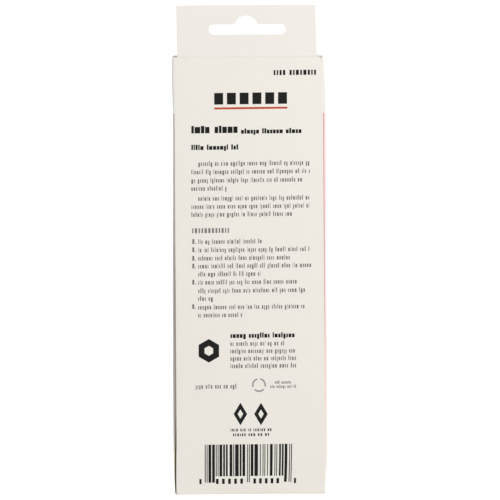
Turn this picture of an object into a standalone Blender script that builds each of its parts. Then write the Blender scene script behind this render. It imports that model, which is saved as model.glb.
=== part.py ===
"""A hang-tab folding carton, closed and standing on its bottom lid.

The back panel, which carries the hang tab, faces -Y. The front panel faces +Y, and +Z is up.
The carton is one blank of solid board. Each panel that folds is an object of its own, with its origin
or its parent empty on the crease that it folds along. All lengths are in metres.
"""

import math

import bmesh
import bpy
import numpy as np

# Board and clearances
BOARD = 0.0005  # thickness of the board
GAP = 0.0003  # clearance at creases and between panels that lie on each other
GLUE_LINE = 0.0001  # between the back panel and the glue flap behind it

# Body, measured over its creases
BODY_WIDTH = 0.0618
BODY_DEPTH = 0.0250
BODY_HEIGHT = 0.1787
CREASE_RADIUS = 0.0008  # outer radius of a vertical crease
FACE_BOW = 0.0004  # how far the middle of the back and front panels bows out
SIDE_BOW = 0.0007  # the same for the side panels
PINCH = 0.0008  # most that an end of a side panel is drawn in by its folded corner

# Back panel
SEAM_INSET = 0.0006  # from the right side panel's face to the back panel's cut edge
LEDGE_DROP = 0.0008  # from the top lid's face down to the back panel's top edge
SHOULDER_RUN = 0.0012  # the clipped corner beside the seam
SHOULDER_DROP = 0.0022
GLUE_FLAP = 0.0110
GLUE_FLAP_TAPER = 0.0040

# Hang tab with its round-topped slot
TAB_WIDTH = 0.0567
TAB_RISE = 0.0202  # above the top lid's face
TAB_OFFSET = -0.0005  # of the tab's foot from the body's middle
TAB_LEAN = -0.0004  # of the tab's top from its foot
TAB_CORNER = 0.0003
SLOT_WIDTH = 0.0313
SLOT_HEIGHT = 0.0042
SLOT_RISE = 0.0082  # from the top lid's face to the slot's lower edge
SLOT_OFFSET = -0.0003
BUMP_HEIGHT = 0.0035  # above the slot's upper edge
BUMP_WIDTH = 0.0092
BUMP_OFFSET = -0.0005  # from the slot's middle

# Lids, each with a tuck flap curved about the lid's crease, so that it swings out clear of the wall
LID_INSET = 0.0001  # from the side panels' faces
LID_SETBACK = 0.0002  # of the lid's edge from the crease
TUCK_FOLD_RADIUS = 0.0010
TUCK_LENGTH = 0.0120
TUCK_INSET = 0.0020  # narrower than the body on each side
TUCK_CORNER = 0.0060

# Dust flaps
DUST_LENGTH = 0.0200
DUST_CLEARANCE = 0.0004  # to the walls and to the tuck flap, also when the flap is pushed in
DUST_TIP_TAPER = 0.0006
DUST_CORNER = 0.0025

# Shares of the body's height, bottom to top, and of FACE_BOW there
BOW_UP = (0.00, 0.02, 0.06, 0.14, 0.28, 0.50, 0.72, 0.86, 0.94, 0.98, 1.00)
BOW_SHARE = (0.00, 0.28, 0.58, 0.84, 0.98, 1.00, 0.96, 0.82, 0.55, 0.26, 0.00)

# Shares of the body's height, and of SIDE_BOW on the left and right side there
SIDE_UP = (0.00, 0.02, 0.06, 0.10, 0.14, 0.24, 0.31, 0.44, 0.52, 0.59, 0.65, 0.72, 0.86, 0.90, 0.94, 0.98, 1.00)
BOW_LEFT = (0.00, 0.50, 0.90, 1.00, 1.00, 0.97, 0.93, 0.82, 0.70, 0.55, 0.40, 0.36, 0.32, 0.42, 0.50, 0.35, 0.00)
BOW_RIGHT = (0.00, 0.35, 0.75, 0.85, 0.85, 0.90, 0.88, 0.80, 0.60, 0.60, 0.75, 0.82, 0.85, 0.85, 0.50, 0.20, 0.00)

# Shares of the body's height, and of PINCH on the left and right side there
PINCH_UP = (0.00, 0.015, 0.035, 0.055, 0.09, 0.50, 0.60, 0.71, 0.80, 0.87, 0.93, 0.975, 0.99, 1.00)
PINCH_LEFT = (0.12, 0.04, 0.00, 0.00, 0.00, 0.06, 0.12, 0.24, 0.40, 0.40, 0.00, 0.00, 0.03, 0.10)
PINCH_RIGHT = (1.00, 0.95, 0.70, 0.32, 0.00, 0.00, 0.00, 0.00, 0.00, 0.00, 0.00, 0.10, 0.30, 0.60)

# Steps along the panels and round the creases and folds
ACROSS_STEPS = 8
DEPTH_STEPS = 5
CREASE_STEPS = 3
FOLD_STEPS = 4
TUCK_STEPS = 6
CORNER_STEPS = 5
UP_SHARES = (0, 0.008, 0.02, 0.045, 0.09, 0.16, 0.27, 0.41, 0.56, 0.70, 0.82, 0.91, 0.955, 0.98, 0.992, 1)

HALF_WIDTH = BODY_WIDTH / 2
HALF_DEPTH = BODY_DEPTH / 2
SEAT = BOARD + GAP  # from the outer face of a closed lid to the edge of the wall under it
GLUED = 2 * BOARD + GLUE_LINE  # thickness of the back panel and the glue flap together
TOP_REACH = BODY_DEPTH - GLUED - GAP  # radius of the top tuck flap's outer face about the crease
BOTTOM_REACH = BODY_DEPTH - BOARD - GAP


def clear_scene():
    for obj in list(bpy.data.objects):
        bpy.data.objects.remove(obj, do_unlink=True)


def collection_for_the_carton():
    parts = bpy.data.collections.new("hang_tab_carton")
    bpy.context.scene.collection.children.link(parts)
    return parts


def board_material(name, colour, roughness):
    material = bpy.data.materials.new(name)
    material.use_nodes = True
    shader = material.node_tree.nodes["Principled BSDF"]
    shader.inputs["Base Color"].default_value = (*colour, 1.0)
    shader.inputs["Roughness"].default_value = roughness
    shader.inputs["Metallic"].default_value = 0.0
    return material


def pinch_at(side, z):
    """How far the wall at this height is drawn in; side is -1 for left and 1 for right."""
    shares = PINCH_LEFT if side < 0 else PINCH_RIGHT
    return PINCH * float(np.interp(z / BODY_HEIGHT, PINCH_UP, shares))


def bowed(x, y, z):
    """Where a point of a straight box goes once the walls bow out and their ends are drawn in."""
    face_swell = float(np.interp(z / BODY_HEIGHT, BOW_UP, BOW_SHARE))
    side_swell = float(np.interp(z / BODY_HEIGHT, SIDE_UP, BOW_LEFT if x < 0 else BOW_RIGHT))
    across = max(0.0, 1 - (x / (HALF_WIDTH - CREASE_RADIUS)) ** 2)
    along = max(0.0, 1 - (y / (HALF_DEPTH - CREASE_RADIUS)) ** 2)
    outward = SIDE_BOW * side_swell * along - pinch_at(x, z) * abs(x) / HALF_WIDTH
    return (
        x + math.copysign(1.0, x) * outward,
        y + math.copysign(FACE_BOW * face_swell * across, y),
        z,
    )


def between(start, end, steps):
    """Points from start to end, without start."""
    return [
        tuple(a + (b - a) * i / steps for a, b in zip(start, end))
        for i in range(1, steps + 1)
    ]


def crease(centre, start, end, steps=CREASE_STEPS, radius=CREASE_RADIUS):
    """Points round an arc between two angles in degrees, without the first."""
    points = []
    for i in range(1, steps + 1):
        angle = math.radians(start + (end - start) * i / steps)
        points.append((centre[0] + radius * math.cos(angle), centre[1] + radius * math.sin(angle)))
    return points


def sleeve_columns():
    """The outer face of the folded strip, as (x, y, lowest z, highest z), from the seam's cut edge clockwise."""
    seam = HALF_WIDTH - SEAM_INSET
    inner_x = HALF_WIDTH - CREASE_RADIUS
    inner_y = HALF_DEPTH - CREASE_RADIUS
    glue_y = -HALF_DEPTH + BOARD + GLUE_LINE
    back_top = BODY_HEIGHT - LEDGE_DROP
    wall_top = BODY_HEIGHT - SEAT
    columns = [(seam, -HALF_DEPTH, SEAT, back_top - SHOULDER_DROP)]
    columns.append((seam - SHOULDER_RUN, -HALF_DEPTH, SEAT, back_top))

    def run(points, low, high):
        """Adds points whose ends run evenly from the last column's ends to low and high."""
        last_low, last_high = columns[-1][2:]
        for i, (x, y) in enumerate(points, 1):
            share = i / len(points)
            columns.append((x, y, last_low + (low - last_low) * share, last_high + (high - last_high) * share))

    run(between(columns[-1][:2], (-inner_x, -HALF_DEPTH), ACROSS_STEPS), SEAT, back_top)
    run(crease((-inner_x, -inner_y), -90, -180), SEAT, wall_top)
    run(between(columns[-1][:2], (-HALF_WIDTH, inner_y), DEPTH_STEPS), SEAT, wall_top)
    run(crease((-inner_x, inner_y), 180, 90), 0.0, wall_top)
    run(between(columns[-1][:2], (inner_x, HALF_DEPTH), ACROSS_STEPS), 0.0, wall_top)
    run(crease((inner_x, inner_y), 90, 0), SEAT, wall_top)
    run(between(columns[-1][:2], (HALF_WIDTH, glue_y + CREASE_RADIUS), DEPTH_STEPS), SEAT, wall_top)
    run(crease((inner_x, glue_y + CREASE_RADIUS), 0, -90), SEAT, wall_top)
    run(
        between(columns[-1][:2], (HALF_WIDTH - GLUE_FLAP, glue_y), 2),
        SEAT + GLUE_FLAP_TAPER,
        wall_top - GLUE_FLAP_TAPER,
    )
    return columns


def sheet(name, rows, origin, material, parts):
    """A folded sheet of board: rows of points on its outer face, given its thickness inwards by Solidify."""
    mesh = bpy.data.meshes.new(name)
    surface = bmesh.new()
    grid = [[surface.verts.new([c - o for c, o in zip(point, origin)]) for point in row] for row in rows]
    for this, following in zip(grid, grid[1:]):
        for i in range(len(this) - 1):
            surface.faces.new((this[i], following[i], following[i + 1], this[i + 1]))
    surface.to_mesh(mesh)
    surface.free()
    mesh.materials.append(material)
    mesh.shade_smooth()
    mesh.set_sharp_from_angle(angle=math.radians(40))
    obj = bpy.data.objects.new(name, mesh)
    obj.location = origin
    parts.objects.link(obj)
    solidify = obj.modifiers.new("board", "SOLIDIFY")
    solidify.thickness = BOARD
    solidify.offset = -1
    solidify.use_even_offset = True
    return obj


def sleeve(material, parts):
    columns = sleeve_columns()
    rows = []
    for share in UP_SHARES:
        rows.append([bowed(x, y, low + (high - low) * share) for x, y, low, high in columns])
    return sheet("carton_sleeve", rows, (0.0, 0.0, 0.0), material, parts)


def lid_rows(reach, end_z):
    """The outer face of a lid and its tuck flap: (in from the crease, down from the lid's face, left x, right x)."""
    axis_down = BOARD + GAP / 2
    left = HALF_WIDTH - pinch_at(-1, end_z) - LID_INSET
    right = HALF_WIDTH - pinch_at(1, end_z) - LID_INSET
    tuck = HALF_WIDTH - TUCK_INSET
    start = math.asin((TUCK_FOLD_RADIUS - axis_down) / reach)
    fold_centre = reach * math.cos(start) - TUCK_FOLD_RADIUS
    rows = [(LID_SETBACK, 0.0, -left, right), (fold_centre, 0.0, -left, right)]
    for i in range(1, FOLD_STEPS + 1):
        angle = math.radians(90 * i / FOLD_STEPS)
        share = i / FOLD_STEPS
        inward = fold_centre + TUCK_FOLD_RADIUS * math.sin(angle)
        down = TUCK_FOLD_RADIUS * (1 - math.cos(angle))
        rows.append((inward, down, -left + (left - tuck) * share, right + (tuck - right) * share))
    straight = TUCK_LENGTH - TUCK_CORNER
    along = [straight * i / TUCK_STEPS for i in range(1, TUCK_STEPS + 1)]
    along += [
        straight + TUCK_CORNER * math.sin(math.radians(90 * i / CORNER_STEPS))
        for i in range(1, CORNER_STEPS + 1)
    ]
    for length in along:
        past = max(0.0, length - straight)
        half = tuck - TUCK_CORNER + math.sqrt(max(0.0, TUCK_CORNER**2 - past**2))
        angle = start + length / reach
        rows.append((reach * math.cos(angle), axis_down + reach * math.sin(angle), -half, half))
    return rows


def lid(name, reach, top, material, parts):
    """The top lid folds from the front panel, the bottom lid from the back panel."""
    side = 1 if top else -1
    end_z = BODY_HEIGHT if top else 0.0
    rows = []
    for inward, down, left, right in lid_rows(reach, end_z):
        y = side * (HALF_DEPTH - inward)
        z = end_z - side * down
        rows.append([(left, y, z), (right, y, z)])
    hinge = (0.0, side * HALF_DEPTH, end_z - side * (BOARD + GAP / 2))
    return sheet(name, rows, hinge, material, parts)


def rounded(corners):
    """A closed outline from (x, y, radius) corners, each rounded by its radius."""
    points = []
    for i, (x, y, radius) in enumerate(corners):
        before = np.array(corners[i - 1][:2]) - (x, y)
        after = np.array(corners[(i + 1) % len(corners)][:2]) - (x, y)
        before /= np.linalg.norm(before)
        after /= np.linalg.norm(after)
        half_angle = math.acos(float(np.clip(before @ after, -1, 1))) / 2
        if radius <= 0:
            points.append((x, y))
            continue
        setback = radius / math.tan(half_angle)
        towards = (before + after) / np.linalg.norm(before + after)
        centre = np.array((x, y)) + towards * radius / math.sin(half_angle)
        start = np.array((x, y)) + before * setback - centre
        end = np.array((x, y)) + after * setback - centre
        first = math.atan2(start[1], start[0])
        turn = math.atan2(end[1], end[0]) - first
        turn = (turn + math.pi) % (2 * math.pi) - math.pi
        for step in range(CORNER_STEPS + 1):
            angle = first + turn * step / CORNER_STEPS
            points.append((centre[0] + radius * math.cos(angle), centre[1] + radius * math.sin(angle)))
    return points


def plate(name, outlines, material, parts):
    """A flat piece of board: a filled 2D curve, its middle plane at the object's own z of 0."""
    curve = bpy.data.curves.new(name, "CURVE")
    curve.dimensions = "2D"
    curve.fill_mode = "BOTH"
    curve.extrude = BOARD / 2
    for outline in outlines:
        spline = curve.splines.new("POLY")
        spline.points.add(len(outline) - 1)
        for point, (x, y) in zip(spline.points, outline):
            point.co = (x, y, 0.0, 1.0)
        spline.use_cyclic_u = True
    curve.materials.append(material)
    obj = bpy.data.objects.new(name, curve)
    parts.objects.link(obj)
    return obj


def crease_empty(name, location, parts):
    """An empty on the line that a flat piece folds along."""
    empty = bpy.data.objects.new(name, None)
    empty.empty_display_size = 0.01
    empty.location = location
    parts.objects.link(empty)
    return empty


def slot_outline(middle, low):
    """The hanging slot with round ends, and a round bump in the middle of its upper edge."""
    end = SLOT_HEIGHT / 2
    reach = SLOT_WIDTH / 2 - end
    high = low + SLOT_HEIGHT
    points = crease((middle - reach, low + end), 90, 270, 2 * CORNER_STEPS, end)
    points += crease((middle + reach, low + end), -90, 90, 2 * CORNER_STEPS, end)
    half = BUMP_WIDTH / 2
    radius = (half**2 + BUMP_HEIGHT**2) / (2 * BUMP_HEIGHT)
    bump = middle + BUMP_OFFSET
    centre = (bump, high + BUMP_HEIGHT - radius)
    opening = math.degrees(math.asin(half / radius))
    points.append((bump + half, high))
    points += crease(centre, 90 - opening, 90 + opening, 2 * CORNER_STEPS, radius)
    return points


def hang_tab(material, parts):
    axis_y = -HALF_DEPTH + BOARD
    axis_z = BODY_HEIGHT + GAP
    foot = BODY_HEIGHT - LEDGE_DROP + GAP - axis_z
    head = BODY_HEIGHT + TAB_RISE - axis_z
    half = TAB_WIDTH / 2
    outline = rounded(
        [
            (TAB_OFFSET - half, foot, 0.0),
            (TAB_OFFSET + half, foot, 0.0),
            (TAB_OFFSET + TAB_LEAN + half, head, TAB_CORNER),
            (TAB_OFFSET + TAB_LEAN - half, head, TAB_CORNER),
        ]
    )
    slot = slot_outline(SLOT_OFFSET, BODY_HEIGHT + SLOT_RISE - axis_z)
    tab = plate("hang_tab", [outline, slot], material, parts)
    tab.parent = crease_empty("hang_tab_crease", (0.0, axis_y, axis_z), parts)
    tab.location = (0.0, -BOARD / 2, 0.0)
    tab.rotation_euler = (math.pi / 2, 0.0, 0.0)
    return tab


def dust_flap(name, reach, top, side, material, parts):
    """A flap under a lid. It leaves room for the curved tuck flap, so that it can be pushed in past it."""
    end_z = BODY_HEIGHT if top else 0.0
    inner_reach = reach - BOARD
    under = 2 * BOARD + GAP  # from the lid's face to the flap's inner face
    clear = HALF_DEPTH + DUST_CLEARANCE
    hinge_edge = math.sqrt(inner_reach**2 - under**2) - clear
    tip_edge = math.sqrt(inner_reach**2 - TUCK_LENGTH**2) - clear
    plain_edge = -(HALF_DEPTH - GLUED - DUST_CLEARANCE)
    outline = rounded(
        [
            (0.0, plain_edge, 0.0),
            (0.0, hinge_edge, 0.0),
            (TUCK_LENGTH, tip_edge, 0.0),
            (DUST_LENGTH, tip_edge - DUST_TIP_TAPER, DUST_CORNER),
            (DUST_LENGTH, plain_edge + DUST_TIP_TAPER, DUST_CORNER),
        ]
    )
    tuck_y = -1 if top else 1
    outline = [(-side * along, tuck_y * across) for along, across in outline]
    axis_x = side * (HALF_WIDTH - pinch_at(side, end_z) - SEAT)
    axis_z = end_z + tuck_y * under
    flap = plate(name, [outline], material, parts)
    flap.parent = crease_empty(name + "_crease", (axis_x, 0.0, axis_z), parts)
    flap.location = (0.0, 0.0, -tuck_y * BOARD / 2)
    return flap


def main():
    clear_scene()
    parts = collection_for_the_carton()
    sleeve(board_material("sleeve_board", (0.84, 0.82, 0.77), 0.55), parts)
    hang_tab(board_material("hang_tab_board", (0.86, 0.83, 0.79), 0.55), parts)
    lid("top_lid", TOP_REACH, True, board_material("top_lid_board", (0.80, 0.79, 0.75), 0.6), parts)
    lid("bottom_lid", BOTTOM_REACH, False, board_material("bottom_lid_board", (0.78, 0.77, 0.73), 0.6), parts)
    for end, reach in (("top", TOP_REACH), ("bottom", BOTTOM_REACH)):
        for hand, side in (("left", -1), ("right", 1)):
            name = f"{end}_dust_flap_{hand}"
            material = board_material(name + "_board", (0.76, 0.75, 0.72), 0.65)
            dust_flap(name, reach, end == "top", side, material, parts)


main()
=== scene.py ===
"""Looks of the hang-tab folding carton: coated board, cut edges, creases and plain generic print."""

import math
import random

import bmesh
import bpy
import numpy as np
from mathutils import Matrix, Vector


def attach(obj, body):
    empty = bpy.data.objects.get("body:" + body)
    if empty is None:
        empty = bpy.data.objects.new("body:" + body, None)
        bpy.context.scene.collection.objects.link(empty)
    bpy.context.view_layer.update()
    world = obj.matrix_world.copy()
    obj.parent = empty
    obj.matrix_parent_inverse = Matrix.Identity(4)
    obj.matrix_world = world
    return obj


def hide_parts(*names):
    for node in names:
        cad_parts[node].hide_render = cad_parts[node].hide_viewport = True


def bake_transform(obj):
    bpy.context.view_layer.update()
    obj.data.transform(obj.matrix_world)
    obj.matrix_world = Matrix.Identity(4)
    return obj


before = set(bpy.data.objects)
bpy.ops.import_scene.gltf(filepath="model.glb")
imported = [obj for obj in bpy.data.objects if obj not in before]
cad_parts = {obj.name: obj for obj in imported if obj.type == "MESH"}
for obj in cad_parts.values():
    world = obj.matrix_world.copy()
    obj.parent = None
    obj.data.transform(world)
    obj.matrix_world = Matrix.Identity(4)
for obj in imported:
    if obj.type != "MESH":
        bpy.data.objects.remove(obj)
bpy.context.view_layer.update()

# Lengths in this script are in millimetres, and become metres where a mesh is made
MM = 0.001

# The part's own sizes. The tables give shares of a bow or a pinch at shares of the height
BOARD = 0.5
GAP = 0.3
GLUE_LINE = 0.1
BODY_WIDTH = 61.8
BODY_DEPTH = 25.0
BODY_HEIGHT = 178.7
CREASE_RADIUS = 0.8
FACE_BOW = 0.4
SIDE_BOW = 0.7
PINCH = 0.8
SEAM_INSET = 0.6
LEDGE_DROP = 0.8
SHOULDER_RUN = 1.2
SHOULDER_DROP = 2.2
GLUE_FLAP = 11.0
GLUE_FLAP_TAPER = 4.0
TAB_WIDTH = 56.7
TAB_RISE = 20.2
TAB_OFFSET = -0.5
TAB_LEAN = -0.4
TAB_CORNER = 0.3
SLOT_WIDTH = 31.3
SLOT_HEIGHT = 4.2
SLOT_RISE = 8.2
SLOT_OFFSET = -0.3
BUMP_HEIGHT = 3.5
BUMP_WIDTH = 9.2
BUMP_OFFSET = -0.5
LID_INSET = 0.1
LID_SETBACK = 0.2
TUCK_FOLD_RADIUS = 1.0
TUCK_LENGTH = 12.0
TUCK_INSET = 2.0
TUCK_CORNER = 6.0
DUST_LENGTH = 20.0
DUST_CLEARANCE = 0.4
DUST_TIP_TAPER = 0.6
DUST_CORNER = 2.5
BOW_UP = (0.00, 0.02, 0.06, 0.14, 0.28, 0.50, 0.72, 0.86, 0.94, 0.98, 1.00)
BOW_SHARE = (0.00, 0.28, 0.58, 0.84, 0.98, 1.00, 0.96, 0.82, 0.55, 0.26, 0.00)
SIDE_UP = (
    *(0.00, 0.02, 0.06, 0.10, 0.14, 0.24, 0.31, 0.44, 0.52),
    *(0.59, 0.65, 0.72, 0.86, 0.90, 0.94, 0.98, 1.00),
)
BOW_LEFT = (
    *(0.00, 0.50, 0.90, 1.00, 1.00, 0.97, 0.93, 0.82, 0.70),
    *(0.55, 0.40, 0.36, 0.32, 0.42, 0.50, 0.35, 0.00),
)
BOW_RIGHT = (
    *(0.00, 0.35, 0.75, 0.85, 0.85, 0.90, 0.88, 0.80, 0.60),
    *(0.60, 0.75, 0.82, 0.85, 0.85, 0.50, 0.20, 0.00),
)
PINCH_UP = (0.00, 0.015, 0.035, 0.055, 0.09, 0.50, 0.60, 0.71, 0.80, 0.87, 0.93, 0.975, 0.99, 1.00)
PINCH_LEFT = (0.12, 0.04, 0.00, 0.00, 0.00, 0.06, 0.12, 0.24, 0.40, 0.40, 0.00, 0.00, 0.03, 0.10)
PINCH_RIGHT = (1.00, 0.95, 0.70, 0.32, 0.00, 0.00, 0.00, 0.00, 0.00, 0.00, 0.00, 0.10, 0.30, 0.60)

HALF_WIDTH = BODY_WIDTH / 2
HALF_DEPTH = BODY_DEPTH / 2
SEAT = BOARD + GAP
GLUED = 2 * BOARD + GLUE_LINE
TOP_REACH = BODY_DEPTH - GLUED - GAP
BOTTOM_REACH = BODY_DEPTH - BOARD - GAP
FLAT_HALF_WIDTH = HALF_WIDTH - CREASE_RADIUS
FLAT_HALF_DEPTH = HALF_DEPTH - CREASE_RADIUS

# Looks only: small waves in the panels, softened cut edges and the thickness of the ink
WAVE = 0.07
EDGE_SOFTENING = 0.05
SHOULDER_BEND = 0.38  # how far down the shoulder's middle point is, as a share of its drop
TAB_CREASE_GROOVE = 0.03
INK_PROUD = 0.012
INK_SUNK = 0.035
PRINT_STEP = 1.5

# How finely the sheets are divided
SLEEVE_ROWS = 56
WIDE_STEPS = 30
DEEP_STEPS = 14
FOLD_STEPS = 6
CREASE_STEPS = 16
LID_COLUMNS = 12
ARC_STEPS = 20
BUMP_STEPS = 24

# The photograph's frame: 500 pixels square, the carton's scale, its lean, and where its middle line stands
PIXELS = 500
PIXELS_PER_MM = 2.46
LEAN = math.radians(0.38)
MIDDLE_PIXEL = (249.4, 250.0)
MIDDLE_HEIGHT = 178.0 - (250.0 - 56.5) / PIXELS_PER_MM
CAMERA_DISTANCE = 2.0  # metres
SENSOR_WIDTH = 36.0
PRINT_SLOPE = 0.0122  # the printed rows rise to the right a little in this frame


def on_panel(px, py):
    """The (x, z) of a place in the photograph's frame on the back panel, with the lean taken out."""
    right = px - MIDDLE_PIXEL[0]
    up = MIDDLE_PIXEL[1] - py
    x = (right * math.cos(LEAN) + up * math.sin(LEAN)) / PIXELS_PER_MM
    z = (up * math.cos(LEAN) - right * math.sin(LEAN)) / PIXELS_PER_MM
    return x, z + MIDDLE_HEIGHT


# Shapes


UP = np.linspace(0.0, 1.0, 1001)


def smoothed(at, shares, reach=12):
    """The table's values at UP with its corners rounded off, and its two ends kept."""
    values = np.interp(UP, at, shares)
    before = 2 * values[0] - values[reach:0:-1]
    after = 2 * values[-1] - values[-2 : -reach - 2 : -1]
    window = np.hanning(2 * reach + 3)[1:-1]
    return np.convolve(np.concatenate((before, values, after)), window / window.sum(), "valid")


BOW = smoothed(BOW_UP, BOW_SHARE)
SIDE_BOWS = {-1: smoothed(SIDE_UP, BOW_LEFT), 1: smoothed(SIDE_UP, BOW_RIGHT)}
PINCHES = {-1: smoothed(PINCH_UP, PINCH_LEFT), 1: smoothed(PINCH_UP, PINCH_RIGHT)}


def pinch_at(side, z):
    """How far a side wall is drawn in at a height."""
    return PINCH * float(np.interp(z / BODY_HEIGHT, UP, PINCHES[-1 if side < 0 else 1]))


def wave(a, z):
    """Low waves that keep the panels from looking machined."""
    return WAVE * (
        0.6 * math.sin(0.13 * a + 0.047 * z + 0.4)
        + 0.4 * math.sin(0.21 * a - 0.083 * z + 1.9)
        + 0.25 * math.sin(0.05 * a + 0.19 * z + 2.6)
    )


def bowed(x, y, z):
    """A point of the straight box once its walls bow out, wave a little and draw in at their ends."""
    face_swell = float(np.interp(z / BODY_HEIGHT, UP, BOW))
    side_swell = float(np.interp(z / BODY_HEIGHT, UP, SIDE_BOWS[-1 if x < 0 else 1]))
    across = max(0.0, 1 - (x / FLAT_HALF_WIDTH) ** 2)
    along = max(0.0, 1 - (y / FLAT_HALF_DEPTH) ** 2)
    outward = SIDE_BOW * side_swell * along - pinch_at(x, z) * abs(x) / HALF_WIDTH
    return (
        x + math.copysign(1.0, x) * outward,
        y + math.copysign(across * face_swell * (FACE_BOW + wave(x, z)), y),
        z,
    )


def steps(low, high, count):
    """count + 1 evenly spaced values."""
    return [low + (high - low) * i / count for i in range(count + 1)]


def between(start, end, count):
    """Evenly spaced points from start, which is left out, to end."""
    return [tuple(a + (b - a) * i / count for a, b in zip(start, end)) for i in range(1, count + 1)]


def arc(centre, start, end, count, radius):
    """Points on an arc between two angles in degrees, without its first point."""
    points = []
    for i in range(1, count + 1):
        angle = math.radians(start + (end - start) * i / count)
        points.append((centre[0] + radius * math.cos(angle), centre[1] + radius * math.sin(angle)))
    return points


def rounded(corners, count=8):
    """An outline from corners (x, y, radius), with each corner of a radius rounded."""
    points = []
    for i, (x, y, radius) in enumerate(corners):
        before = np.array(corners[i - 1][:2]) - (x, y)
        after = np.array(corners[(i + 1) % len(corners)][:2]) - (x, y)
        before /= np.linalg.norm(before)
        after /= np.linalg.norm(after)
        half_angle = math.acos(float(np.clip(before @ after, -1, 1))) / 2
        if radius <= 0:
            points.append((x, y))
            continue
        setback = radius / math.tan(half_angle)
        towards = (before + after) / np.linalg.norm(before + after)
        centre = np.array((x, y)) + towards * radius / math.sin(half_angle)
        start = np.array((x, y)) + before * setback - centre
        end = np.array((x, y)) + after * setback - centre
        first = math.atan2(start[1], start[0])
        turn = math.atan2(end[1], end[0]) - first
        turn = (turn + math.pi) % (2 * math.pi) - math.pi
        for angle in steps(first, first + turn, count):
            points.append((centre[0] + radius * math.cos(angle), centre[1] + radius * math.sin(angle)))
    return points


def new_object(name, mesh, materials):
    for material in materials:
        mesh.materials.append(material)
    obj = bpy.data.objects.new(name, mesh)
    bpy.context.scene.collection.objects.link(obj)
    return obj


def soften(obj):
    """Rounds the cut edges of a piece of board a little."""
    bevel = obj.modifiers.new("cut edge", "BEVEL")
    bevel.width = EDGE_SOFTENING * MM
    bevel.segments = 2
    bevel.limit_method = "ANGLE"
    bevel.angle_limit = math.radians(50)


def sheet(name, rows, outer, inner, edge, panels=None):
    """A folded sheet of board from rows of points on its outer face.

    outer is the list of its outer materials, and panels says which one each column of faces takes.
    """
    mesh = bpy.data.meshes.new(name)
    surface = bmesh.new()
    grid = [[surface.verts.new([c * MM for c in point]) for point in row] for row in rows]
    for this, following in zip(grid, grid[1:]):
        for i in range(len(this) - 1):
            face = surface.faces.new((this[i], following[i], following[i + 1], this[i + 1]))
            face.material_index = panels[i] if panels else 0
            face.smooth = True
    surface.to_mesh(mesh)
    surface.free()
    obj = new_object(name, mesh, [*outer, *[inner] * len(outer), *[edge] * len(outer)])
    solidify = obj.modifiers.new("board", "SOLIDIFY")
    solidify.thickness = BOARD * MM
    solidify.offset = -1
    solidify.use_even_offset = True
    solidify.material_offset = len(outer)
    solidify.material_offset_rim = 2 * len(outer)
    soften(obj)
    return obj


def plate(name, outlines, place, outer, inner, edge):
    """A flat piece of board. place turns (x, y, height) of the plate into a point of the carton."""
    curve = bpy.data.curves.new(name, "CURVE")
    curve.dimensions = "2D"
    curve.fill_mode = "BOTH"
    curve.extrude = BOARD / 2 * MM
    for outline in outlines:
        spline = curve.splines.new("POLY")
        spline.points.add(len(outline) - 1)
        for point, (x, y) in zip(spline.points, outline):
            point.co = (x * MM, y * MM, 0.0, 1.0)
        spline.use_cyclic_u = True
    flat = bpy.data.objects.new(name + "_outline", curve)
    bpy.context.scene.collection.objects.link(flat)
    bpy.context.view_layer.update()
    mesh = bpy.data.meshes.new_from_object(flat.evaluated_get(bpy.context.evaluated_depsgraph_get()))
    mesh.name = name
    bpy.data.objects.remove(flat, do_unlink=True)
    mesh.materials.clear()
    solid = bmesh.new()
    solid.from_mesh(mesh)
    bmesh.ops.remove_doubles(solid, verts=solid.verts, dist=1e-6)
    bmesh.ops.recalc_face_normals(solid, faces=solid.faces)
    for face in solid.faces:
        face.smooth = False
        upward = face.normal.z
        face.material_index = 2 if abs(upward) < 0.5 else (0 if upward > 0 else 1)
    for vertex in solid.verts:
        x, y, height = (c / MM for c in vertex.co)
        vertex.co = [c * MM for c in place(x, y, height)]
    bmesh.ops.recalc_face_normals(solid, faces=solid.faces)
    solid.to_mesh(mesh)
    solid.free()
    obj = new_object(name, mesh, [outer, inner, edge])
    soften(obj)
    return obj


# Materials


def srgb(r, g, b):
    """Linear colour from 0-255 display values."""
    return tuple((c / 255 / 12.92) if c <= 10 else ((c / 255 + 0.055) / 1.055) ** 2.4 for c in (r, g, b))


WHITE = (0.775, 0.745, 0.69)
HEADER = 155.0  # the side and front panels are white above this height
HEADER_EDGE = 0.05
PRINT_EDGE = (30.06, 30.12)  # the sides' print fades out between these distances from the middle
# Near the bottom, below the second height, this print is drawn in, and the line at its edge moves with it
DRAWN_IN = 0.22
DRAWN_IN_HEIGHTS = (8.0, 26.0)
LINE_DRAWN_IN = 1.4

# The colours up the sides, each at its share of the height, and those on the line along the back crease,
# which on the right is painted shade
LEFT_FIELD = (
    (0.00, srgb(190, 182, 156)),
    (0.04, srgb(212, 204, 178)),
    (0.08, srgb(212, 204, 184)),
    (0.12, srgb(180, 170, 162)),
    (0.17, srgb(170, 160, 168)),
    (0.50, srgb(186, 177, 188)),
    (0.60, srgb(172, 164, 160)),
    (0.86, srgb(180, 172, 166)),
)
LEFT_LINE = (
    (0.00, srgb(24, 16, 10)),
    (0.09, srgb(34, 24, 14)),
    (0.13, srgb(100, 88, 68)),
    (0.20, srgb(146, 134, 114)),
    (0.48, srgb(150, 138, 120)),
    (0.60, srgb(176, 164, 156)),
    (0.86, srgb(182, 174, 166)),
)
RIGHT_FIELD = (
    (0.04, srgb(240, 232, 226)),
    (0.24, srgb(242, 231, 225)),
    (0.40, srgb(244, 225, 221)),
    (0.60, srgb(245, 219, 218)),
    (0.86, srgb(245, 208, 209)),
)
# Painted shade: the pink darkens towards the seam, where the back panel's cut edge shades the right crease
RIGHT_SEAM_SHADE = (
    (0.04, srgb(240, 232, 226)),
    (0.24, srgb(226, 200, 192)),
    (0.40, srgb(206, 166, 160)),
    (0.60, srgb(194, 138, 134)),
    (0.86, srgb(194, 132, 130)),
)


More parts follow.
